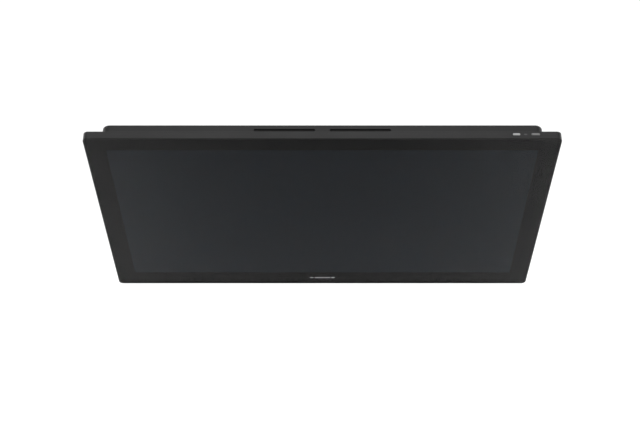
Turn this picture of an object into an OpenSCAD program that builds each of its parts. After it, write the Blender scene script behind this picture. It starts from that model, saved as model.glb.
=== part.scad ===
// Pen display monitor: a flat slab with a glass face, a raised rear housing with
// a VESA mount, two keys and a status light on its top edge, and everything that
// it holds inside.
// X runs across, Z is up and the glass faces -Y. The origin is the centre of the
// VESA pattern, on its mounting face. "Depth" is counted from the slab's front
// edge towards the back.

/* [Slab] */
// Width of the slab
slab_w = 585.4; // [582:0.1:588]
// Height of the slab
slab_h = 357.3; // [356:0.1:360]
// Corner radius of the slab
slab_r = 6.5; // [6:0.5:8]
// Depth of the slab's edge
slab_t = 10.8; // [10.75:0.05:11]
// Width of the lip round the glass
lip_w = 2.4; // [2.2:0.1:2.6]

/* [Screen] */
// Width of the clear window in the black border
window_w = 533.3; // [528:0.1:535]
// Height of the clear window
window_h = 301.2; // [298:0.1:303]
// Height of the window's centre above the slab's centre
window_z = 1.5; // [1:0.1:1.6]

/* [Rear housing] */
// Width of the raised rear housing
hump_w = 542; // [534:1:543]
// Gap between the housing's top and the slab's top
hump_drop = 4; // [4:0.1:4.5]
// Gap between the housing's bottom and the slab's bottom
hump_rise = 24; // [23:1:26]
// Corner radius of the housing
hump_r = 10; // [8:0.5:12]
// Depth from the glass side to the rearmost face
body_t = 23.9; // [23.5:0.1:24.2]
// Length of each vent slot
vent_len = 75.3; // [60:0.1:78]
// Height of each vent slot
vent_h = 3.7; // [3:0.1:4]

/* [Keys] */
// Length of the power key
power_len = 8.8; // [8.4:0.1:9.4]
// Length of the brightness key
rocker_len = 10.1; // [9.6:0.1:10.8]
// Width of both keys, front to back
key_w = 3.2; // [3:0.05:3.8]
// How far the keys stand out of the edge
key_proud = 0.35; // [0.2:0.05:0.5]

/* [Mount] */
// Side of the large square bolt pattern
vesa_large = 100; // [100:25:100]
// Side of the small square bolt pattern
vesa_small = 75; // [75:25:75]

/* [Hidden] */
$fn = 48;

eps = 0.01;
wall = 2;                       // side wall of the front frame
recess = 0.8;                   // depth of the VESA recess
mount_d = body_t - recess;      // depth of the mounting face, where Y is 0
shell = 1.8;                    // wall of the rear cover
flange_t = 1.6;                 // rear cover's flange inside the front frame
flange_d = slab_t - flange_t;

// Layers behind the glass, as depths of their front faces
glass_d = 0.15;
glass_t = 1.1;
layer_gap = 0.02;               // between stacked layers
mask_d = glass_d + glass_t + layer_gap;
mask_t = 0.15;
tape_d = mask_d + mask_t + layer_gap;
tape_t = 0.35;
ledge_d = 1.8;
ledge_t = 1.4;
bond_t = 0.3;
lcd_d = mask_d + bond_t + layer_gap;
lcd_t = 1.5;
sheet_t = 0.3;
prism_d = lcd_d + lcd_t + 0.15;
diffuser_d = 3.6;
guide_d = 4;
guide_t = 2;
reflector_d = 6.1;
tray_d = 6.4;
tray_t = 0.6;
sensor_d = 7.05;
sensor_t = 0.4;
shield_d = 7.5;
chassis_d = 7.9;
chassis_t = 1.1;
chassis_rear = chassis_d + chassis_t;
cover_in = body_t - shell;      // inner face of the rear cover's back wall

// Outlines
glass_w = slab_w - 2 * lip_w - 0.2;
glass_h = slab_h - 2 * lip_w - 0.2;
lcd_w = window_w + 7.7;
lcd_h = window_h + 7.8;
frame_w = lcd_w + 8;            // plastic frame round the backlight
frame_h = lcd_h + 8;
frame_wall = 3;
mark_z = -161.8;
mark_h = 2.4;
hump_h = slab_h - hump_drop - hump_rise;
hump_z = (hump_rise - hump_drop) / 2;
hump_top = slab_h / 2 - hump_drop;
hump_bottom = hump_rise - slab_h / 2;

// Vents, in the housing's top and bottom walls
vent_x = 46.55;
low_vent_x = 115;
vent_d = 15.6;                  // depth of the slots' middles
vent_rim = 0.8;                 // wall left over the mesh
mesh_half = [41, 4];

// Cover screws: [x, z] places on the flange and along the housing's top
screw_r = 1.25;
head_r = 2.4;
head_t = 0.8;
flange_screws = [
    for (x = [-280, 280], z = [-140, 0, 140]) [x, z],
    for (x = [-210, -70, 70, 210]) [x, -166.5]
];
top_screws = [for (x = [-212, -115, 115, 212]) [x, 165]];

// Bay for the cable plugs, open to the back and the bottom
bay_half = 55;
bay_top = -122;
bay_floor_d = 12;
bay_wall = 1.8;

// Boards
pcb_t = 1.6;
main_d = 13.9;
main_half = 88;
main_top = -62;
main_bottom = -118.5;
small_pcb_t = 1.2;
small_d = 11;
post_r = 2.5;
main_posts = [for (x = [-82, 82], z = [-112, -70]) [x, z]];
digitizer_box = [-215, -60, 100, 60];     // [x, z, width, height]
driver_box = [120, -60, 80, 40];
function corners(box, inset) = [
    for (x = [box[0] + inset, box[0] + box[2] - inset],
         z = [box[1] + inset, box[1] + box[3] - inset]) [x, z]
];
small_posts = concat(corners(digitizer_box, 5), corners(driver_box, 5));

// Ports, in the bay's upper wall
port_d = main_d + pcb_t;        // connectors stand on the board's rear face
hdmi_x = -12;
usb_x = [14, 34];
dc_x = -38;
port_face = bay_top + 0.2;
hdmi_size = [15.2, 5.6];
usb_size = [9, 3.3];
dc_size = [9.4, 8];
dc_d = 13.4;

// Keys, on the slab's top edge
top_z = slab_h / 2;
key_d = 6.45;                   // depth of the keys' centres
power_x = 236.9;
light_x = 248;
rocker_x = 260.2;
rocker_gap = 0.35;
key_gap = 0.15;
flange_grow = 0.8;              // how far a key's hidden flange is wider than its cap
plunger_top = top_z - 5;
switch_top = plunger_top - 0.8;
switch_h = 1.9;
key_pcb_top = switch_top - switch_h;
key_pcb_t = 0.8;
pivot_z = top_z - 4.5;
pivot_r = 0.6;
rocker_arm = 3.6;               // from the pivot to each foot of the rocker
foot_gap = 0.08;                // lets the rocker's feet tilt over the plungers
hub_w = 2;                      // length of the rocker's hub along its pin
ear_gap = 0.2;                  // between the hub and the bracket's ears
ear_t = 1;
key_board_d = [key_d - 2.45, key_d + 2.4];

// ---- Shapes that repeat ----

// A flat layer: its children, drawn in X and Z, from a depth towards the back.
module layer(depth, thick) {
    rotate([90, 0, 0])
        translate([0, 0, mount_d - depth - thick])
            linear_extrude(thick) children();
}

module rounded(w, h, r) {
    square([w - 2 * r, h], center = true);
    square([w, h - 2 * r], center = true);
    for (x = [r - w / 2, w / 2 - r], y = [r - h / 2, h / 2 - r])
        translate([x, y]) circle(r);
}

module pill(len, wid) {
    square([len - wid, wid], center = true);
    for (x = [-1, 1] * (len - wid) / 2)
        translate([x, 0]) circle(d = wid);
}

module box_at(x, z, w, h) {
    translate([x, z]) square([w, h]);
}

// A post or hole along Y, from one depth to a greater one.
module round_at(place, r, from, to) {
    translate([place[0], from - mount_d, place[1]])
        rotate([-90, 0, 0]) cylinder(r = r, h = to - from);
}

// A block by its X, depth and Z ranges.
module block(x, d, z) {
    translate([x[0], d[0] - mount_d, z[0]])
        cube([x[1] - x[0], d[1] - d[0], z[1] - z[0]]);
}

// Extrudes a shape drawn in X and depth along Z.
module upright(from, to) {
    translate([0, -mount_d, from]) linear_extrude(to - from) children();
}

// Sweeps a profile round a rounded rectangle. The profile's X is the distance
// inwards from the outline and its Y is the depth.
module swept(w, h, r) {
    for (side = [0, 1]) {
        mirror([side, 0, 0])
            translate([-w / 2, -mount_d, r - h / 2])
                linear_extrude(h - 2 * r) children();
        mirror([0, 0, side])
            translate([r - w / 2, -mount_d, h / 2])
                rotate([0, 90, 0]) linear_extrude(w - 2 * r) children();
        for (end = [0, 1])
            mirror([side, 0, 0]) mirror([0, 0, end])
                translate([w / 2 - r, -mount_d, r - h / 2])
                    rotate([-90, 0, 0])
                        rotate_extrude(angle = 90)
                            translate([r, 0]) mirror([1, 0]) children();
    }
}

// ---- Glass and screen ----

module cover_glass() {
    color([0.07, 0.07, 0.075])
        layer(glass_d, glass_t) rounded(glass_w, glass_h, slab_r - lip_w);
}

module border_mask() {
    color([0.03, 0.03, 0.03])
        layer(mask_d, mask_t)
            difference() {
                rounded(glass_w - 1, glass_h - 1, slab_r - lip_w - 0.5);
                translate([0, window_z]) square([window_w, window_h], center = true);
            }
}

// A plain printed bar, low on the border.
module front_mark() {
    color([0.7, 0.7, 0.7])
        layer(glass_d - 0.05, 0.05)
            translate([0, mark_z]) {
                pill(22, mark_h);
                for (side = [-1, 1])
                    translate([side * 15.2, 0]) pill(5, mark_h);
            }
}

module glass_tape() {
    color([0.1, 0.1, 0.1])
        layer(tape_d, tape_t)
            difference() {
                rounded(glass_w - 1.2, glass_h - 1.2, slab_r - lip_w - 0.6);
                rounded(slab_w - 22, slab_h - 22, 2);
            }
}

module bond_layer() {
    color([0.6, 0.65, 0.7])
        layer(mask_d, bond_t)
            translate([0, window_z]) square([window_w - 0.6, window_h - 0.6], center = true);
}

module screen_sheet(depth, thick, w = lcd_w, h = lcd_h) {
    layer(depth, thick) translate([0, window_z]) square([w, h], center = true);
}

module lcd_cell() {
    color([0.05, 0.055, 0.065]) screen_sheet(lcd_d, lcd_t);
}

module prism_sheet() {
    color([0.85, 0.88, 0.9]) screen_sheet(prism_d, sheet_t, lcd_w, lcd_h - 2);
}

module diffuser_sheet() {
    color([0.92, 0.93, 0.93]) screen_sheet(diffuser_d, sheet_t, lcd_w, lcd_h - 2);
}

guide_bottom = window_z - lcd_h / 2 + 2.1;
guide_top = window_z + lcd_h / 2 + 0.6;

module light_guide() {
    color([0.8, 0.85, 0.88])
        layer(guide_d, guide_t) box_at(-lcd_w / 2, guide_bottom, lcd_w, guide_top - guide_bottom);
}

module reflector_sheet() {
    color("white")
        layer(reflector_d, 0.2)
            box_at(-lcd_w / 2, guide_bottom, lcd_w, guide_top - guide_bottom);
}

bar_z = guide_bottom - 2.7;     // foot of the LED bar

module led_bar() {
    color([0.85, 0.85, 0.82]) block([-265, 265], [3.6, 6.3], [bar_z, bar_z + 1]);
}

module led_packages() {
    count = 48;
    pitch = 11;
    for (i = [0:count - 1])
        translate([(i - (count - 1) / 2) * pitch, 0, 0])
            color([0.95, 0.85, 0.4]) block([-3.5, 3.5], [4.1, 5.9], [bar_z + 1, bar_z + 2.4]);
}

film_x = [-78, -26, 26, 78];
film_w = 34;

// Slots for the driver films, through the top of whatever wraps the screen.
module film_slots() {
    for (x = film_x)
        block([x - film_w / 2 - 1, x + film_w / 2 + 1], [2.9, 3.35], [155, 162]);
}

module panel_frame() {
    color([0.9, 0.9, 0.9])
        difference() {
            layer(1.85, tray_d - 1.85)
                translate([0, window_z])
                    difference() {
                        square([frame_w, frame_h], center = true);
                        square([frame_w, frame_h] - 2 * [frame_wall, frame_wall], center = true);
                    }
            film_slots();
            // Exit for the backlight leads
            block([157, 163], [4.2, 5.8], [-158, -153]);
        }
}

module backlight_tray() {
    color([0.75, 0.76, 0.78])
        difference() {
            union() {
                screen_sheet(tray_d, tray_t, frame_w + 1.2, frame_h + 1.2);
                layer(2.5, tray_d + tray_t - 2.5)
                    translate([0, window_z])
                        difference() {
                            square([frame_w + 1.2, frame_h + 1.2], center = true);
                            square([frame_w + 0.2, frame_h + 0.2], center = true);
                        }
            }
            film_slots();
            block([157, 163], [4.2, 5.8], [-159, -153]);
        }
}

module lcd_driver_board() {
    color([0.1, 0.3, 0.15]) layer(prism_d, 1) box_at(-105, 161.8, 210, 9.2);
}

module driver_films() {
    color([0.8, 0.5, 0.15])
        for (x = film_x)
            layer(lcd_d + lcd_t, 0.12) box_at(x - film_w / 2, 152, film_w, 13);
}

module sensor_board() {
    color([0.1, 0.35, 0.2]) screen_sheet(sensor_d, sensor_t, frame_w - 4, frame_h - 4);
}

// The slot that the digitizer's ribbon passes through.
module sensor_slot(from, to) {
    layer(from, to - from) box_at(-182, -92, 34, 4);
}

module sensor_shield() {
    color([0.7, 0.7, 0.72])
        difference() {
            screen_sheet(shield_d, 0.3, frame_w - 2, frame_h - 2);
            sensor_slot(shield_d - 1, shield_d + 1);
        }
}

// ---- Structure ----

module front_profile() {
    polygon([
        [0.3, 0], [lip_w - 0.2, 0], [lip_w, 0.2], [lip_w, 3], [wall, 3],
        [wall, slab_t], [0.2, slab_t], [0, slab_t - 0.2], [0, 0.3]
    ]);
}

module key_hole(x, len, wid, r) {
    upright(top_z - wall - 1, top_z + 1)
        translate([x, key_d]) rounded(len, wid, r);
}

module front_frame() {
    color([0.13, 0.13, 0.135])
        difference() {
            union() {
                swept(slab_w, slab_h, slab_r) front_profile();
                layer(ledge_d, ledge_t)
                    difference() {
                        rounded(slab_w - 2, slab_h - 2, slab_r - 1);
                        rounded(slab_w - 24, slab_h - 24, 2);
                    }
                for (p = concat(flange_screws, top_screws))
                    round_at(p, 3.5, ledge_d + 1, chassis_d);
            }
            for (p = concat(flange_screws, top_screws))
                round_at(p, screw_r + 0.05, 3.8, chassis_d + 1);
            key_hole(power_x, power_len + 2 * key_gap, key_w + 2 * key_gap, 1.5);
            key_hole(rocker_x, rocker_len + 2 * rocker_gap, key_w + 2 * key_gap, 1.5);
            upright(top_z - wall - 1, top_z + 1)
                translate([light_x, key_d]) pill(3.6, 1.7);
        }
}

module mid_frame() {
    color([0.72, 0.73, 0.75])
        difference() {
            layer(chassis_d, chassis_t)
                difference() {
                    rounded(567, 341, 6);
                    // Room for the key board
                    box_at(220, 160, 58, 20);
                    // Way round for the display ribbon
                    box_at(-78, 161.5, 14, 12);
                    // Way down for the backlight leads
                    box_at(155, -175, 10, 31);
                }
            for (p = concat(flange_screws, top_screws))
                round_at(p, 1.6, chassis_d - 1, chassis_rear + 1);
            sensor_slot(chassis_d - 1, chassis_rear + 1);
        }
}

module vesa_plate() {
    color([0.6, 0.61, 0.63]) layer(chassis_rear, 1.5) rounded(124, 124, 5);
}

vesa_places = [
    for (side = [vesa_large, vesa_small], x = [-1, 1], z = [-1, 1]) [x, z] * side / 2
];

module vesa_standoffs() {
    color([0.78, 0.74, 0.6])
        for (p = vesa_places)
            difference() {
                round_at(p, 4.5, chassis_rear + 1.5, mount_d);
                round_at(p, 2, mount_d - 10, mount_d + 1);
            }
}

// ---- Rear cover ----

module hump_profile() {
    translate([0, flange_d]) square([shell, cover_in - flange_d]);
    // Sloped foot where the housing leaves the flange
    polygon([
        [-1.3, slab_t - 0.2], [0.2, slab_t - 0.2], [0.2, slab_t + 1.3],
        [0, slab_t + 1.3], [-1.3, slab_t]
    ]);
    intersection() {
        translate([2, body_t - 2]) circle(2);
        translate([0, body_t - 2]) square(2);
    }
    translate([2 - eps, cover_in]) square([3, shell]);
}

module vent_slots(z, from_middle) {
    for (x = [-from_middle, from_middle])
        upright(z - 3, z + 3)
            translate([x, vent_d]) pill(vent_len, vent_h);
}

// The meshes behind the top slots, or the room for them, between two heights.
module mesh_room(from, to, gap = 0) {
    half = mesh_half + [gap, gap];
    for (x = [-vent_x, vent_x])
        block([x - half[0], x + half[0]], [vent_d - half[1], vent_d + half[1]], [from, to]);
}

foot_places = [for (x = [-215, 215], z = [-134, 147]) [x, z]];

module port_holes() {
    block([hdmi_x - hdmi_size[0] / 2 - 0.2, hdmi_x + hdmi_size[0] / 2 + 0.2],
          [port_d - 0.2, port_d + hdmi_size[1] + 0.2], [bay_top - 1, bay_top + bay_wall + 1]);
    for (x = usb_x)
        block([x - usb_size[0] / 2 - 0.2, x + usb_size[0] / 2 + 0.2],
              [port_d - 0.2, port_d + usb_size[1] + 0.2], [bay_top - 1, bay_top + bay_wall + 1]);
    block([dc_x - dc_size[0] / 2 - 0.2, dc_x + dc_size[0] / 2 + 0.2],
          [dc_d - 0.2, dc_d + dc_size[1] + 0.2], [bay_top - 1, bay_top + bay_wall + 1]);
}

module rear_cover() {
    color([0.12, 0.12, 0.125])
        difference() {
            union() {
                layer(flange_d, flange_t)
                    difference() {
                        rounded(slab_w - 2 * wall - 0.2, slab_h - 2 * wall - 0.2, slab_r - wall - 0.1);
                        translate([0, hump_z])
                            rounded(hump_w - 2, hump_h - 2, hump_r - 1);
                    }
                translate([0, 0, hump_z]) {
                    swept(hump_w, hump_h, hump_r) hump_profile();
                    layer(cover_in, shell)
                        rounded(hump_w - 6, hump_h - 6, hump_r - 3);
                }
                // Thicker wall behind the mount
                layer(cover_in - 1.2, 1.7) rounded(146, 146, 8);
                for (p = top_screws)
                    round_at(p, 4, flange_d, cover_in + 0.5);
                // Walls of the plug bay
                block([-bay_half - bay_wall, bay_half + bay_wall],
                      [bay_floor_d - bay_wall, body_t - 0.5],
                      [hump_bottom + 0.5, bay_top + bay_wall]);
            }
            block([-bay_half, bay_half], [bay_floor_d, body_t + 1], [hump_bottom - 5, bay_top]);
            vent_slots(hump_top, vent_x);
            vent_slots(hump_bottom, low_vent_x);
            mesh_room(hump_top - shell - 0.5, hump_top - vent_rim, 0.2);
            layer(mount_d, 2) rounded(134, 134, 6);
            for (p = vesa_places)
                round_at(p, 4.6, cover_in - 3, body_t);
            for (p = foot_places)
                layer(mount_d, 2) translate(p) pill(62.2, 12.2);
            for (p = flange_screws) {
                round_at(p, 1.5, flange_d - 1, slab_t + 1);
                round_at(p, head_r + 0.1, slab_t - head_t, slab_t + 1);
            }
            for (p = top_screws) {
                round_at(p, 1.5, flange_d - 1, body_t + 1);
                round_at(p, head_r + 0.1, body_t - head_t - 0.2, body_t + 1);
            }
            port_holes();
        }
}

module vent_mesh() {
    holes = 49;
    pitch = 1.6;
    hole_w = 0.7;
    mesh_top = hump_top - vent_rim - 0.1;
    color([0.06, 0.06, 0.06])
        difference() {
            mesh_room(mesh_top - 0.5, mesh_top);
            for (x = [-vent_x, vent_x], i = [0:holes - 1])
                translate([x + (i - (holes - 1) / 2) * pitch, 0, 0])
                    block([-hole_w / 2, hole_w / 2], [vent_d - 2.5, vent_d + 2.5],
                          [mesh_top - 1, mesh_top + 1]);
        }
}

module rubber_feet() {
    color([0.05, 0.05, 0.05])
        for (p = foot_places) {
            layer(mount_d, 1.8) translate(p) pill(62, 12);
            layer(mount_d + 1.8, 0.4) translate(p) pill(61.2, 11.2);
        }
}

module cover_screw(p, head_d) {
    difference() {
        union() {
            round_at(p, screw_r, 4, head_d + 0.1);
            round_at(p, head_r, head_d, head_d + head_t);
        }
        for (turn = [0, 1])
            block([p[0], p[0]] + (turn == 0 ? [-1.4, 1.4] : [-0.3, 0.3]),
                  [head_d + 0.3, head_d + 1],
                  [p[1], p[1]] + (turn == 0 ? [-0.3, 0.3] : [-1.4, 1.4]));
    }
}

module cover_screws() {
    color([0.1, 0.1, 0.1]) {
        for (p = flange_screws) cover_screw(p, slab_t - head_t);
        for (p = top_screws) cover_screw(p, body_t - head_t - 0.2);
    }
}

// ---- Boards and what is on them ----

module main_board() {
    color([0.08, 0.3, 0.16])
        difference() {
            layer(main_d, pcb_t)
                difference() {
                    box_at(-main_half, main_bottom, 2 * main_half, main_top - main_bottom);
                    // Cut-out for the power jack
                    box_at(dc_x - 5, main_bottom - 1, 10, 14);
                }
            for (p = main_posts) round_at(p, 1.2, main_d - 1, main_d + pcb_t + 1);
        }
}

module board_posts() {
    color([0.78, 0.74, 0.6]) {
        for (p = main_posts)
            difference() {
                round_at(p, post_r, chassis_rear, main_d);
                round_at(p, 1.05, main_d - 3.5, main_d + 1);
            }
        for (p = small_posts)
            difference() {
                round_at(p, post_r, chassis_rear, small_d);
                round_at(p, 1.05, small_d - 1.5, small_d + 1);
            }
    }
}

module board_screw(p, seat, reach) {
    round_at(p, 1, seat - reach, seat + 0.1);
    round_at(p, 2.2, seat, seat + 1);
}

module board_screws() {
    color([0.6, 0.6, 0.62]) {
        for (p = main_posts) board_screw(p, main_d + pcb_t, pcb_t + 3);
        for (p = small_posts) board_screw(p, small_d + small_pcb_t, small_pcb_t + 1.2);
    }
}

// [x, z, width, height, thickness] of the parts on the main board
main_chips = [
    [-8, -96, 17, 17, 1.4], [18, -94, 10, 9, 1], [18, -83, 10, 9, 1],
    [34, -102, 6, 6, 0.9], [-52, -88, 8, 8, 3.2], [-66, -88, 8, 8, 3.2],
    [48, -90, 6, 6, 2.6], [58, -90, 6, 6, 2.6], [-40, -80, 5, 5, 0.9]
];

module board_chips() {
    color([0.07, 0.07, 0.08])
        for (c = main_chips)
            layer(port_d, c[4]) box_at(c[0], c[1], c[2], c[3]);
}

// Sockets for the ribbons, on the rear faces of the boards
module board_connectors() {
    color([0.9, 0.88, 0.8]) {
        layer(port_d, 1) box_at(-79, -70.5, 16, 4);
        layer(port_d, 1) box_at(76, -94, 4, 10);
        layer(port_d, 1) box_at(-80, -98, 4, 8);
        layer(small_d + small_pcb_t, 1) box_at(-182, -52, 34, 4);
        layer(small_d + small_pcb_t, 1) box_at(-134, -52, 8, 4);
        layer(small_d + small_pcb_t, 2.2) box_at(156, -52, 8, 5);
    }
}

module heat_sink() {
    fins = 9;
    base_d = port_d + 1.4;
    color([0.55, 0.56, 0.58]) {
        layer(base_d, 1.2) box_at(-15.5, -103, 32, 28);
        for (i = [0:fins - 1])
            layer(base_d + 1.2, 3) box_at(-15.5 + i * 3.8, -103, 1.2, 28);
    }
}

// A thin-walled socket shell with its mouth downwards.
module port_shell(x, size, deep) {
    difference() {
        block([x - size[0] / 2, x + size[0] / 2], [port_d, port_d + size[1]],
              [port_face, port_face + deep]);
        block([x - size[0] / 2 + 0.4, x + size[0] / 2 - 0.4],
              [port_d + 0.4, port_d + size[1] - 0.4], [port_face - 1, port_face + deep - 1]);
    }
}

module port_tongue(x, size, deep, thick) {
    middle = port_d + size[1] / 2;
    block([x - size[0] / 2 + 1.3, x + size[0] / 2 - 1.3],
          [middle - thick / 2, middle + thick / 2], [port_face + 1, port_face + deep - 1]);
}

module hdmi_shell() {
    color([0.75, 0.76, 0.78]) port_shell(hdmi_x, hdmi_size, 12);
}

module hdmi_tongue() {
    color([0.06, 0.06, 0.06]) port_tongue(hdmi_x, hdmi_size, 12, 1.6);
}

module usb_c_shells() {
    color([0.75, 0.76, 0.78])
        for (x = usb_x) port_shell(x, usb_size, 8);
}

module usb_c_tongues() {
    color([0.06, 0.06, 0.06])
        for (x = usb_x) port_tongue(x, usb_size, 8, 0.7);
}

module jack_bore(r, from, to) {
    translate([dc_x, dc_d + dc_size[1] / 2 - mount_d, from]) cylinder(r = r, h = to - from);
}

module dc_jack() {
    color([0.07, 0.07, 0.07])
        difference() {
            block([dc_x - dc_size[0] / 2, dc_x + dc_size[0] / 2], [dc_d, dc_d + dc_size[1]],
                  [port_face, port_face + 13]);
            jack_bore(2.85, port_face - 1, port_face + 10);
        }
}

module dc_jack_pin() {
    color([0.8, 0.8, 0.8]) jack_bore(1.2, port_face + 1, port_face + 10);
}

module small_board(box) {
    difference() {
        layer(small_d, small_pcb_t) box_at(box[0], box[1], box[2], box[3]);
        for (p = corners(box, 5)) round_at(p, 1.2, small_d - 1, small_d + small_pcb_t + 1);
    }
}

module digitizer_board() {
    color([0.08, 0.3, 0.16]) small_board(digitizer_box);
}

module digitizer_chips() {
    color([0.07, 0.07, 0.08])
        for (c = [[-185, -35, 12, 12, 1.2], [-165, -30, 7, 7, 1], [-150, -30, 7, 7, 1],
                  [-200, -20, 5, 8, 1.2]])
            layer(small_d + small_pcb_t, c[4]) box_at(c[0], c[1], c[2], c[3]);
}

module backlight_driver() {
    color([0.08, 0.3, 0.16]) small_board(driver_box);
}

module driver_coils() {
    color([0.15, 0.15, 0.16])
        for (x = [140, 158, 176])
            round_at([x, -35], 5, small_d + small_pcb_t, small_d + small_pcb_t + 4.5);
}

// ---- Ribbons and leads ----

ribbon_t = 0.25;
ribbon_d = chassis_rear + 0.05;

module display_ribbon() {
    color([0.85, 0.85, 0.8]) {
        layer(ribbon_d, ribbon_t) box_at(-76, -60, 10, 227);
        block([-76, -66], [prism_d + 1, ribbon_d + ribbon_t], [167, 167 + ribbon_t]);
        block([-76, -66], [ribbon_d, port_d + 1 + ribbon_t], [-60, -60 + ribbon_t]);
        layer(port_d + 1, ribbon_t) box_at(-76, -68, 10, 8 + ribbon_t);
    }
}

module key_ribbon() {
    color([0.85, 0.85, 0.8]) {
        layer(9.8, ribbon_t) {
            box_at(223, 150, 6, 20.6);
            box_at(106, 144, 123, 6);
            box_at(106, -92, 6, 242);
            box_at(90, -92, 22, 6);
        }
        block([90, 90 + ribbon_t], [9.8, port_d + 1 + ribbon_t], [-92, -86]);
        layer(port_d + 1, ribbon_t) box_at(77, -92, 13 + ribbon_t, 6);
    }
}

module sensor_ribbon() {
    color([0.8, 0.5, 0.15]) {
        block([-180, -150], [sensor_d + sensor_t, ribbon_d + ribbon_t], [-90, -90 + ribbon_t]);
        layer(ribbon_d, ribbon_t) box_at(-180, -90, 30, 27);
        block([-180, -150], [ribbon_d, small_d + small_pcb_t + 1 + ribbon_t],
              [-63 - ribbon_t, -63]);
        layer(small_d + small_pcb_t + 1, ribbon_t) box_at(-180, -63 - ribbon_t, 30, 14);
    }
}

module data_ribbon() {
    color([0.85, 0.85, 0.8]) {
        layer(small_d + small_pcb_t + 1, ribbon_t) box_at(-133, -63 - ribbon_t, 6, 14);
        block([-133, -127], [ribbon_d, small_d + small_pcb_t + 1 + ribbon_t],
              [-63 - ribbon_t, -63]);
        layer(ribbon_d, ribbon_t) {
            box_at(-133, -97, 6, 34);
            box_at(-133, -97, 43, 6);
        }
        block([-90 - ribbon_t, -90], [ribbon_d, port_d + 1 + ribbon_t], [-97, -91]);
        layer(port_d + 1, ribbon_t) box_at(-90 - ribbon_t, -97, 13, 6);
    }
}

lead_r = 0.6;

// Two insulated wires from the backlight driver to the LED bar.
module backlight_leads() {
    color([0.6, 0.1, 0.1])
        for (x = [158.6, 161.4])
            translate([x, 0, 0]) {
                lead_run([5, bar_z - 0.8], [5, -162]);
                lead_run([5, -162], [8.45, -162]);
                lead_run([8.45, -162], [8.45, -150]);
                lead_run([8.45, -150], [9.9, -146]);
                lead_run([9.9, -146], [9.9, -66]);
                lead_run([9.9, -66], [13.2, -61]);
                lead_run([13.2, -61], [13.2, -52.8]);
            }
}

// A straight stretch of wire between two [depth, z] points, with round ends.
module lead_run(a, b) {
    run = b - a;
    translate([0, a[0] - mount_d, a[1]])
        rotate([-atan2(run[0], run[1]), 0, 0]) cylinder(r = lead_r, h = norm(run));
    for (p = [a, b])
        translate([0, p[0] - mount_d, p[1]]) sphere(lead_r + 0.05);
}

// ---- Keys ----

// Depths of one of the bracket's ears, from a gap beside the hub outwards.
function ear_room(side, gap, thick) =
    let (near = key_d + side * (hub_w / 2 + gap), far = near + side * thick)
    [min(near, far), max(near, far)];

module key_board() {
    color([0.08, 0.3, 0.16])
        difference() {
            block([222, 272], key_board_d, [key_pcb_top - key_pcb_t, key_pcb_top]);
            // Room for the bracket's ears
            for (side = [-1, 1])
                block([rocker_x - 1.4, rocker_x + 1.4], ear_room(side, 0, 2),
                      [key_pcb_top - 2, key_pcb_top + 1]);
        }
}

module key_bracket() {
    base_top = key_pcb_top - key_pcb_t;
    color([0.2, 0.2, 0.21])
        difference() {
            union() {
                block([230, 274], key_board_d, [base_top - 1.6, base_top]);
                for (side = [-1, 1]) {
                    d = ear_room(side, ear_gap, ear_t);
                    block([rocker_x - 1.2, rocker_x + 1.2], d, [base_top - 0.5, pivot_z]);
                    round_at([rocker_x, pivot_z], 1.2, d[0], d[1]);
                }
            }
            round_at([rocker_x, pivot_z], pivot_r + 0.01, key_d - 3, key_d + 3);
        }
}

module switch_body(x, side) {
    difference() {
        block([x - side / 2, x + side / 2], [key_d - side / 2, key_d + side / 2],
              [key_pcb_top, switch_top]);
        translate([x, key_d - mount_d, key_pcb_top + 0.4]) cylinder(r = 1.05, h = switch_h);
    }
}

module plunger(x) {
    translate([x, key_d - mount_d, plunger_top - 1.8]) cylinder(r = 1, h = 1.8);
}

module key_switches() {
    color([0.65, 0.66, 0.68]) {
        switch_body(power_x, 4.5);
        for (side = [-1, 1]) switch_body(rocker_x + side * rocker_arm, 3.4);
    }
}

module plunger_left() {
    color([0.1, 0.1, 0.1]) plunger(rocker_x - rocker_arm);
}

module plunger_right() {
    color([0.1, 0.1, 0.1]) plunger(rocker_x + rocker_arm);
}

module rocker_pin() {
    reach = hub_w / 2 + ear_gap + ear_t;
    color([0.7, 0.7, 0.72])
        round_at([rocker_x, pivot_z], pivot_r, key_d - reach, key_d + reach);
}

// A key's cap with a small chamfer and the hidden flange that keeps it in.
module key_cap(x, len, flange_from, flange_to) {
    top = top_z + key_proud;
    upright(flange_from, top - 0.25)
        translate([x, key_d]) rounded(len, key_w, 1.4);
    upright(top - 0.25, top)
        translate([x, key_d]) rounded(len - 0.5, key_w - 0.5, 1.15);
    upright(flange_from, flange_to)
        translate([x, key_d]) rounded(len + 2 * flange_grow, key_w + 0.3, 1);
}

module power_key() {
    color([0.8, 0.8, 0.8]) {
        key_cap(power_x, power_len, top_z - 3.2, top_z - 2.2);
        translate([power_x, key_d - mount_d, plunger_top])
            cylinder(r = 1.2, h = top_z - 3.1 - plunger_top);
    }
}

module power_plunger() {
    color([0.1, 0.1, 0.1]) plunger(power_x);
}

module brightness_key() {
    hub_d = [key_d - hub_w / 2, key_d + hub_w / 2];
    color([0.6, 0.6, 0.6])
        difference() {
            union() {
                key_cap(rocker_x, rocker_len, top_z - 3, top_z - 2.45);
                // Hub on the pin, between the bracket's ears
                block([rocker_x - 1.2, rocker_x + 1.2], hub_d, [pivot_z, top_z - 2.9]);
                round_at([rocker_x, pivot_z], 1.2, hub_d[0], hub_d[1]);
                for (side = [-1, 1])
                    translate([rocker_x + side * rocker_arm, key_d - mount_d, plunger_top + foot_gap])
                        cylinder(r = 0.9, h = 2);
            }
            round_at([rocker_x, pivot_z], pivot_r + 0.04, hub_d[0] - 1, hub_d[1] + 1);
        }
}

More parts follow.
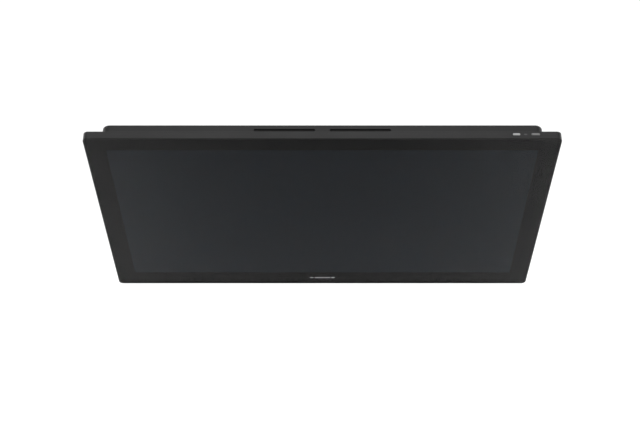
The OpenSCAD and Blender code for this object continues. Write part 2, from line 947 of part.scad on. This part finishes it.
module status_light() {
    color([0.85, 0.87, 0.9]) {
        upright(top_z - 2.6, top_z + 0.05)
            translate([light_x, key_d]) pill(3.4, 1.5);
        upright(key_pcb_top + 1, top_z - 2.5)
            translate([light_x, key_d]) circle(0.7);
    }
}

module status_led() {
    color([0.95, 0.95, 0.85])
        block([light_x - 0.8, light_x + 0.8], [key_d - 0.4, key_d + 0.4],
              [key_pcb_top, key_pcb_top + 0.8]);
}

cover_glass();
border_mask();
front_mark();
glass_tape();
bond_layer();
lcd_cell();
prism_sheet();
diffuser_sheet();
light_guide();
reflector_sheet();
led_bar();
led_packages();
panel_frame();
backlight_tray();
lcd_driver_board();
driver_films();
sensor_board();
sensor_shield();
front_frame();
mid_frame();
vesa_plate();
vesa_standoffs();
rear_cover();
vent_mesh();
rubber_feet();
cover_screws();
main_board();
board_posts();
board_screws();
board_chips();
board_connectors();
heat_sink();
hdmi_shell();
hdmi_tongue();
usb_c_shells();
usb_c_tongues();
dc_jack();
dc_jack_pin();
digitizer_board();
digitizer_chips();
backlight_driver();
driver_coils();
display_ribbon();
key_ribbon();
sensor_ribbon();
data_ribbon();
backlight_leads();
key_board();
key_bracket();
key_switches();
plunger_left();
plunger_right();
rocker_pin();
power_key();
power_plunger();
brightness_key();
status_light();
status_led();
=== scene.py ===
"""Looks, camera and light for the pen display. All lengths are in metres."""

import math

import bpy
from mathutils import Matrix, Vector


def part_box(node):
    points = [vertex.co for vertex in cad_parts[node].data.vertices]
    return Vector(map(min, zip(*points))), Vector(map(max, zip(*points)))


MM = 0.001

# The middle part of a noise texture's output, where nearly all of it lies.
NOISE_LOW = 0.3
NOISE_HIGH = 0.7
# The match of a rounded normal with the face's own at which an edge is full.
EDGE_MATCH = 0.85
# Worn edges, on black plastic also a painted edge highlight: size and least strength
# of the patches, a lift of the colour that shows on black too as that painted
# highlight, and how much roughness the full effect takes away.
WEAR_AND_HIGHLIGHT_PATCH = 6 * MM
WEAR_AND_HIGHLIGHT_LEAST = 0.3
WEAR_AND_HIGHLIGHT_LIFT = 0.004
WEAR_POLISH = 0.2
# A wave texture of scale 1 repeats every 2 pi / 20.
WAVE_LENGTH = 2 * math.pi / 20

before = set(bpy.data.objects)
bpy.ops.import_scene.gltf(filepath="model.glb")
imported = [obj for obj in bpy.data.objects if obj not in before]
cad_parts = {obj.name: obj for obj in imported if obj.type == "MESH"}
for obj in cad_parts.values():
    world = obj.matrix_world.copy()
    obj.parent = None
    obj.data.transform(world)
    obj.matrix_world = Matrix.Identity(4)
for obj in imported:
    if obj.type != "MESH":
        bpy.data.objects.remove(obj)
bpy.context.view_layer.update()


# ---- Material building blocks ----


def new_material(name):
    """A new node material, its node tree and its Principled shader."""
    material = bpy.data.materials.new(name)
    material.use_nodes = True
    tree = material.node_tree
    return material, tree, tree.nodes["Principled BSDF"]


def noise(tree, size, detail=4.0, stretch=(1, 1, 1)):
    """A noise texture's output, with blobs about size metres across."""
    place = tree.nodes.new("ShaderNodeTexCoord")
    mapping = tree.nodes.new("ShaderNodeMapping")
    mapping.inputs["Scale"].default_value = stretch
    texture = tree.nodes.new("ShaderNodeTexNoise")
    texture.inputs["Scale"].default_value = 1 / size
    texture.inputs["Detail"].default_value = detail
    tree.links.new(place.outputs["Object"], mapping.inputs["Vector"])
    tree.links.new(mapping.outputs["Vector"], texture.inputs["Vector"])
    return texture.outputs["Fac"]


def vary(tree, value, low, high):
    """Spreads a noise value over a range."""
    spread = tree.nodes.new("ShaderNodeMapRange")
    spread.inputs["From Min"].default_value = NOISE_LOW
    spread.inputs["From Max"].default_value = NOISE_HIGH
    spread.inputs["To Min"].default_value = low
    spread.inputs["To Max"].default_value = high
    tree.links.new(value, spread.inputs["Value"])
    return spread.outputs["Result"]


def blend_colours(tree, factor, first, second):
    """A colour from first to second as a factor goes from 0 to 1."""
    mix = tree.nodes.new("ShaderNodeMix")
    mix.data_type = "RGBA"
    for socket, colour in ((mix.inputs["A"], first), (mix.inputs["B"], second)):
        if isinstance(colour, bpy.types.NodeSocket):
            tree.links.new(colour, socket)
        else:
            socket.default_value = (*colour, 1)
    tree.links.new(factor, mix.inputs["Factor"])
    return mix.outputs["Result"]


def bump(tree, height, depth):
    """A normal from a height value, depth metres deep."""
    node = tree.nodes.new("ShaderNodeBump")
    node.inputs["Distance"].default_value = depth
    node.inputs["Strength"].default_value = 1.0
    tree.links.new(height, node.inputs["Height"])
    return node.outputs["Normal"]


def edge_mask(tree, radius):
    """1 along edges within radius metres, fading to 0 on open faces."""
    rounded = tree.nodes.new("ShaderNodeBevel")
    rounded.samples = 4
    rounded.inputs["Radius"].default_value = radius
    face = tree.nodes.new("ShaderNodeNewGeometry")
    match = tree.nodes.new("ShaderNodeVectorMath")
    match.operation = "DOT_PRODUCT"
    tree.links.new(rounded.outputs["Normal"], match.inputs[0])
    tree.links.new(face.outputs["Normal"], match.inputs[1])
    mask = tree.nodes.new("ShaderNodeMapRange")
    mask.inputs["From Min"].default_value = 1.0
    mask.inputs["From Max"].default_value = EDGE_MATCH
    tree.links.new(match.outputs["Value"], mask.inputs["Value"])
    return mask.outputs["Result"]


def cells(tree, size):
    """Distance to the middle of the nearest cell, for cells size metres across."""
    place = tree.nodes.new("ShaderNodeTexCoord")
    texture = tree.nodes.new("ShaderNodeTexVoronoi")
    texture.inputs["Scale"].default_value = 1 / size
    tree.links.new(place.outputs["Object"], texture.inputs["Vector"])
    return texture.outputs["Distance"]


def combine(tree, operation, first, second):
    """A Math node on an output and another output or a number."""
    node = tree.nodes.new("ShaderNodeMath")
    node.operation = operation
    tree.links.new(first, node.inputs[0])
    if isinstance(second, (int, float)):
        node.inputs[1].default_value = second
    else:
        tree.links.new(second, node.inputs[1])
    return node.outputs["Value"]


def finish(
    name,
    colour,
    roughness,
    grain=0.4 * MM,
    depth=0.02 * MM,
    mottle=0.08,
    mottle_size=25 * MM,
    rough_spread=0.05,
    stretch=(1, 1, 1),
    pits=None,
    wear=0.0,
    wear_radius=0.5 * MM,
    **sockets,
):
    """A material with a grain, a slow drift of colour and an uneven sheen.

    grain and mottle_size are the sizes of the fine and the slow pattern, depth is
    the height of the relief, and mottle is the share by which the colour drifts.
    pits is the size of moulded cells that replace the grain's relief. wear
    makes edges paler and smoother in patches, more so the higher it is: worn edges, and on
    black plastic also a painted highlight along the edges. sockets are further inputs of
    the shader, with _ for each space in their names.
    """
    material, tree, shader = new_material(name)
    link = tree.links.new
    drift = vary(tree, noise(tree, mottle_size), 0, 1)
    darker = [c * (1 - mottle) for c in colour]
    lighter = [min(1, c * (1 + mottle)) for c in colour]
    tone = blend_colours(tree, drift, darker, lighter)
    fine = noise(tree, grain, stretch=stretch)
    sheen = vary(tree, fine, roughness - rough_spread, roughness + rough_spread)
    blots = noise(tree, mottle_size * 2, detail=2)
    smudge = vary(tree, blots, -rough_spread / 2, rough_spread / 2)
    sheen = combine(tree, "ADD", sheen, smudge)
    if wear:
        # Paler, smoother edges in patches: real rubbing, and on black plastic a painted edge
        # highlight.
        patches = vary(tree, noise(tree, WEAR_AND_HIGHLIGHT_PATCH), WEAR_AND_HIGHLIGHT_LEAST, 1)
        worn_and_highlit = combine(tree, "MULTIPLY", edge_mask(tree, wear_radius), patches)
        pale = [min(1, c * (1 + 2 * wear) + WEAR_AND_HIGHLIGHT_LIFT * wear) for c in colour]
        tone = blend_colours(tree, worn_and_highlit, tone, pale)
        polish = combine(tree, "MULTIPLY", worn_and_highlit, WEAR_POLISH * wear)
        sheen = combine(tree, "SUBTRACT", sheen, polish)
    link(tone, shader.inputs["Base Color"])
    link(sheen, shader.inputs["Roughness"])
    height = cells(tree, pits) if pits else fine
    link(bump(tree, height, depth), shader.inputs["Normal"])
    for socket, value in sockets.items():
        shader.inputs[socket.replace("_", " ")].default_value = value
    return material


def add_lines(material, colour, pitch, direction="X", share=0.5):
    """Draws fine parallel lines of a second colour, pitch metres apart.

    share is how strongly the second colour shows in the middle of a line.
    """
    tree = material.node_tree
    target = tree.nodes["Principled BSDF"].inputs["Base Color"]
    place = tree.nodes.new("ShaderNodeTexCoord")
    bands = tree.nodes.new("ShaderNodeTexWave")
    bands.bands_direction = direction
    bands.inputs["Scale"].default_value = WAVE_LENGTH / pitch
    tree.links.new(place.outputs["Object"], bands.inputs["Vector"])
    factor = combine(tree, "MULTIPLY", bands.outputs["Fac"], share)
    tone = blend_colours(tree, factor, target.links[0].from_socket, colour)
    tree.links.new(tone, target)
    return material


def paint(material, *nodes):
    """Gives CAD nodes one material."""
    for node in nodes:
        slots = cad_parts[node].data.materials
        slots.clear()
        slots.append(material)


# ---- Materials: the outside ----

# The black plastic's paler edges are partly worn edges and partly a painted highlight along them.
BLACK_PLASTIC = {"wear": 0.35, "mottle": 0.05, "Specular_IOR_Level": 0.16}
FRAME_BLACK = (0.0079, 0.0079, 0.0081)
COVER_BLACK = (0.009, 0.009, 0.0092)
housing = finish(
    "housing_plastic",
    FRAME_BLACK,
    0.5,
    grain=0.3 * MM,
    depth=0.006 * MM,
    wear_radius=0.35 * MM,
    **BLACK_PLASTIC,
)
paint(housing, "front_frame")
back_plastic = finish(
    "back_plastic",
    COVER_BLACK,
    0.55,
    pits=0.45 * MM,
    depth=0.012 * MM,
    wear_radius=0.4 * MM,
    **BLACK_PLASTIC,
)
paint(back_plastic, "rear_cover")

glass = finish(
    "cover_glass",
    (0.003, 0.003, 0.0034),
    0.32,
    grain=0.12 * MM,
    depth=0.0005 * MM,
    mottle_size=70 * MM,
    rough_spread=0.02,
    Alpha=0.35,
    Specular_IOR_Level=0.25,
)
paint(glass, "cover_glass")
border_ink = finish(
    "border_ink", (0.005, 0.005, 0.005), 0.6, depth=0.001 * MM, Specular_IOR_Level=0.08
)
paint(border_ink, "border_mask")
paint(finish("mark_ink", (0.68, 0.68, 0.68), 0.5, depth=0.001 * MM), "front_mark")
lcd_glass = finish(
    "lcd_glass",
    (0.033, 0.061, 0.094),
    0.4,
    depth=0.001 * MM,
    Specular_IOR_Level=0.2,
    Specular_Tint=(0.6, 0.85, 1, 1),
)
PIXEL_PITCH = 0.2745 * MM
paint(add_lines(lcd_glass, (0.03, 0.055, 0.085), PIXEL_PITCH, share=0.3), "lcd_cell")

key_look = {"grain": 0.2 * MM, "depth": 0.004 * MM, "wear": 0.2, "wear_radius": 0.25 * MM}
# Both keys are one silver finish; the power key's much paler grey is a painted highlight on it.
paint(finish("power_key", (0.24, 0.24, 0.24), 0.4, **key_look), "power_key")
paint(finish("brightness_key", (0.052, 0.052, 0.052), 0.4, **key_look), "brightness_key")
light_pipe = finish(
    "light_pipe", (0.025, 0.025, 0.0255), 0.4, depth=0.001 * MM, Specular_IOR_Level=0.3
)
paint(light_pipe, "status_light")
mesh_black = finish(
    "mesh_black",
    (0.016, 0.016, 0.016),
    0.7,
    pits=0.6 * MM,
    depth=0.01 * MM,
    Specular_IOR_Level=0.08,
)
paint(mesh_black, "vent_mesh")
foot_rubber = finish(
    "foot_rubber",
    (0.015, 0.015, 0.015),
    0.85,
    pits=0.7 * MM,
    depth=0.05 * MM,
    mottle=0.25,
    mottle_size=8 * MM,
    wear=0.8,
    wear_radius=0.8 * MM,
)
paint(foot_rubber, "rubber_feet")
screw_black = finish(
    "screw_black",
    (0.03, 0.03, 0.032),
    0.35,
    grain=0.15 * MM,
    depth=0.004 * MM,
    wear=1.5,
    Metallic=1.0,
)
paint(screw_black, "cover_screws")
brass = finish(
    "brass_parts",
    (0.66, 0.52, 0.27),
    0.3,
    grain=0.2 * MM,
    depth=0.004 * MM,
    wear=0.3,
    Metallic=1.0,
)
paint(add_lines(brass, (0.5, 0.38, 0.18), 0.25 * MM, "Y"), "vesa_standoffs", "board_posts")
port_metal = finish(
    "port_metal", (0.7, 0.7, 0.71), 0.25, grain=0.2 * MM, depth=0.003 * MM, wear=0.2, Metallic=1.0
)
paint(port_metal, "hdmi_shell", "usb_c_shells", "dc_jack_pin")
port_plastic = finish("port_plastic", (0.01, 0.01, 0.01), 0.5, depth=0.004 * MM, wear=0.5)
paint(port_plastic, "hdmi_tongue", "usb_c_tongues", "dc_jack")

# ---- Materials: the inside ----

paint(finish("glass_tape", (0.01, 0.01, 0.01), 0.8, pits=0.5 * MM), "glass_tape")
paint(finish("clear_bond", (0.5, 0.5, 0.5), 0.3, depth=0, Alpha=0.01), "bond_layer")
films = finish("film_sheets", (0.8, 0.82, 0.84), 0.35, depth=0.002 * MM)
paint(add_lines(films, (0.7, 0.73, 0.77), 0.05 * MM, "Z"), "prism_sheet", "diffuser_sheet")
paint(finish("guide_acrylic", (0.75, 0.8, 0.82), 0.1, pits=1.2 * MM, Alpha=0.6), "light_guide")
white_sheet = finish("white_sheet", (0.88, 0.88, 0.87), 0.5, grain=0.15 * MM, depth=0.01 * MM)
paint(white_sheet, "reflector_sheet", "panel_frame")
paint(finish("led_carrier", (0.75, 0.75, 0.72), 0.35, wear=0.2, Metallic=1.0), "led_bar")
paint(finish("led_yellow", (0.85, 0.7, 0.2), 0.3, depth=0.002 * MM), "led_packages", "status_led")
steel = finish(
    "pressed_steel",
    (0.52, 0.53, 0.55),
    0.38,
    grain=0.6 * MM,
    stretch=(0.05, 1, 1),
    mottle=0.12,
    mottle_size=12 * MM,
    wear=0.2,
    Metallic=1.0,
)
paint(steel, "backlight_tray", "sensor_shield", "vesa_plate")
cast = finish("cast_frame", (0.6, 0.61, 0.63), 0.42, pits=0.5 * MM, wear=0.2, Metallic=1.0)
paint(cast, "mid_frame")
solder_mask = finish("circuit_board", (0.015, 0.11, 0.045), 0.35, depth=0.006 * MM, wear=0.6)
paint(
    add_lines(solder_mask, (0.03, 0.17, 0.07), 1.1 * MM, "DIAGONAL", share=0.6),
    "lcd_driver_board",
    "sensor_board",
    "main_board",
    "digitizer_board",
    "backlight_driver",
    "key_board",
)
film = finish("amber_film", (0.5, 0.22, 0.04), 0.3, depth=0.003 * MM)
paint(add_lines(film, (0.75, 0.45, 0.15), 0.3 * MM), "driver_films", "sensor_ribbon")
ribbon = finish("white_ribbon", (0.7, 0.7, 0.66), 0.45, depth=0.003 * MM)
paint(
    add_lines(ribbon, (0.5, 0.5, 0.48), 0.5 * MM), "display_ribbon", "key_ribbon", "data_ribbon"
)
paint(finish("lead_red", (0.35, 0.02, 0.02), 0.5, depth=0.004 * MM), "backlight_leads")
chip = finish("chip_black", (0.02, 0.02, 0.022), 0.6, grain=0.1 * MM, depth=0.004 * MM, wear=0.5)
paint(chip, "board_chips", "digitizer_chips", "driver_coils")
paint(finish("connector_cream", (0.7, 0.66, 0.54), 0.5, depth=0.004 * MM), "board_connectors")
sink = finish("sink_metal", (0.4, 0.41, 0.43), 0.4, stretch=(1, 1, 0.05), wear=0.3, Metallic=1.0)
paint(sink, "heat_sink")
zinc = finish("screw_zinc", (0.6, 0.6, 0.62), 0.3, grain=0.15 * MM, depth=0.004 * MM, Metallic=1.0)
paint(zinc, "board_screws", "rocker_pin")
paint(
    finish("inner_plastic", (0.03, 0.03, 0.032), 0.5, depth=0.006 * MM, wear=0.3),
    "key_bracket",
    "power_plunger",
    "plunger_left",
    "plunger_right",
)
switch_metal = finish("switch_metal", (0.5, 0.51, 0.53), 0.35, depth=0.004 * MM, Metallic=1.0)
paint(switch_metal, "key_switches")


# ---- Floor, light and camera ----

frame_low, frame_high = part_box("front_frame")
middle = Vector([(low + high) / 2 for low, high in zip(frame_low, frame_high)])

FLOOR_DROP = 1.2
FLOOR_SIDE = 24.0
FLOOR_WHITE = (0.9, 0.9, 0.9)


def add_floor():
    side = FLOOR_SIDE / 2
    mesh = bpy.data.meshes.new("floor")
    corners = [(-side, -side, 0), (side, -side, 0), (side, side, 0), (-side, side, 0)]
    mesh.from_pydata(corners, [], [(0, 1, 2, 3)])
    floor = bpy.data.objects.new("floor", mesh)
    floor.location.z = frame_low[2] - FLOOR_DROP
    bpy.context.scene.collection.objects.link(floor)
    floor.data.materials.append(finish("floor_paint", FLOOR_WHITE, 0.8, mottle=0.01))


def add_light(name, place, aim, size, power):
    """A soft light that points at aim. Its size is (width, length), its power in watts."""
    lamp = bpy.data.lights.new(name, "AREA")
    lamp.shape = "RECTANGLE"
    lamp.size, lamp.size_y = size
    lamp.energy = power
    light = bpy.data.objects.new(name, lamp)
    light.location = place
    light.rotation_euler = (Vector(aim) - Vector(place)).to_track_quat("-Z", "Y").to_euler()
    light.visible_camera = False
    bpy.context.scene.collection.objects.link(light)


def add_world(strength):
    world = bpy.data.worlds.new("studio")
    world.use_nodes = True
    background = world.node_tree.nodes["Background"]
    background.inputs["Color"].default_value = (1, 1, 1, 1)
    background.inputs["Strength"].default_value = strength
    bpy.context.scene.world = world


# The camera looks down at the upright display from the front. It aims at a point
# on the display's front plane, AIM_HEIGHT above the middle.
CAMERA_ELEVATION = math.radians(57.48)
CAMERA_DISTANCE = 1.7613
CAMERA_LENS = 74.8
CAMERA_SENSOR = 36.0
AIM_HEIGHT = 9.14 * MM
SHIFT_X = -0.00366


def add_camera():
    aim = Vector((middle.x, frame_low[1], middle.z + AIM_HEIGHT))
    away = Vector((0, -math.cos(CAMERA_ELEVATION), math.sin(CAMERA_ELEVATION)))
    camera_data = bpy.data.cameras.new("camera")
    camera_data.lens = CAMERA_LENS
    camera_data.sensor_width = CAMERA_SENSOR
    camera_data.shift_x = SHIFT_X
    camera_data.clip_start = 0.01
    camera_data.clip_end = 100
    camera = bpy.data.objects.new("camera", camera_data)
    camera.location = aim + away * CAMERA_DISTANCE
    camera.rotation_euler = (-away).to_track_quat("-Z", "Y").to_euler()
    bpy.context.scene.collection.objects.link(camera)
    bpy.context.scene.camera = camera


add_floor()
add_world(strength=0.08)
# On the floor behind the display, which is the background
add_light("background_light", (0, 2.5, -0.6), aim=(0, 2.5, -2), size=(8, 5), power=141)
# On the top edge, from behind, so that the floor in front stays darker
add_light("top_light", (0, 0.3, 0.6), aim=(0, 0, 0.18), size=(1.2, 0.3), power=6.8)
# On the floor to the left and right in front, which the glass reflects
for name, x in (("left_light", -1.2), ("right_light", 1.2)):
    add_light(name, (x, -0.75, -0.9), aim=(x, -0.75, -2), size=(0.6, 1.2), power=19)
# On the side walls and rounded corners
for x, aim_x in ((-1.0, -0.29), (1.0, 0.29)):
    add_light("side_light", (x, 0.35, 0.1), aim=(aim_x, 0, 0.1), size=(0.4, 0.4), power=4)
# On the back, for views from behind
add_light("back_light", (0, 1.1, -1.0), aim=(0, 0, 0), size=(1.6, 0.5), power=12)
add_camera()
bpy.context.scene.view_settings.view_transform = "Standard"
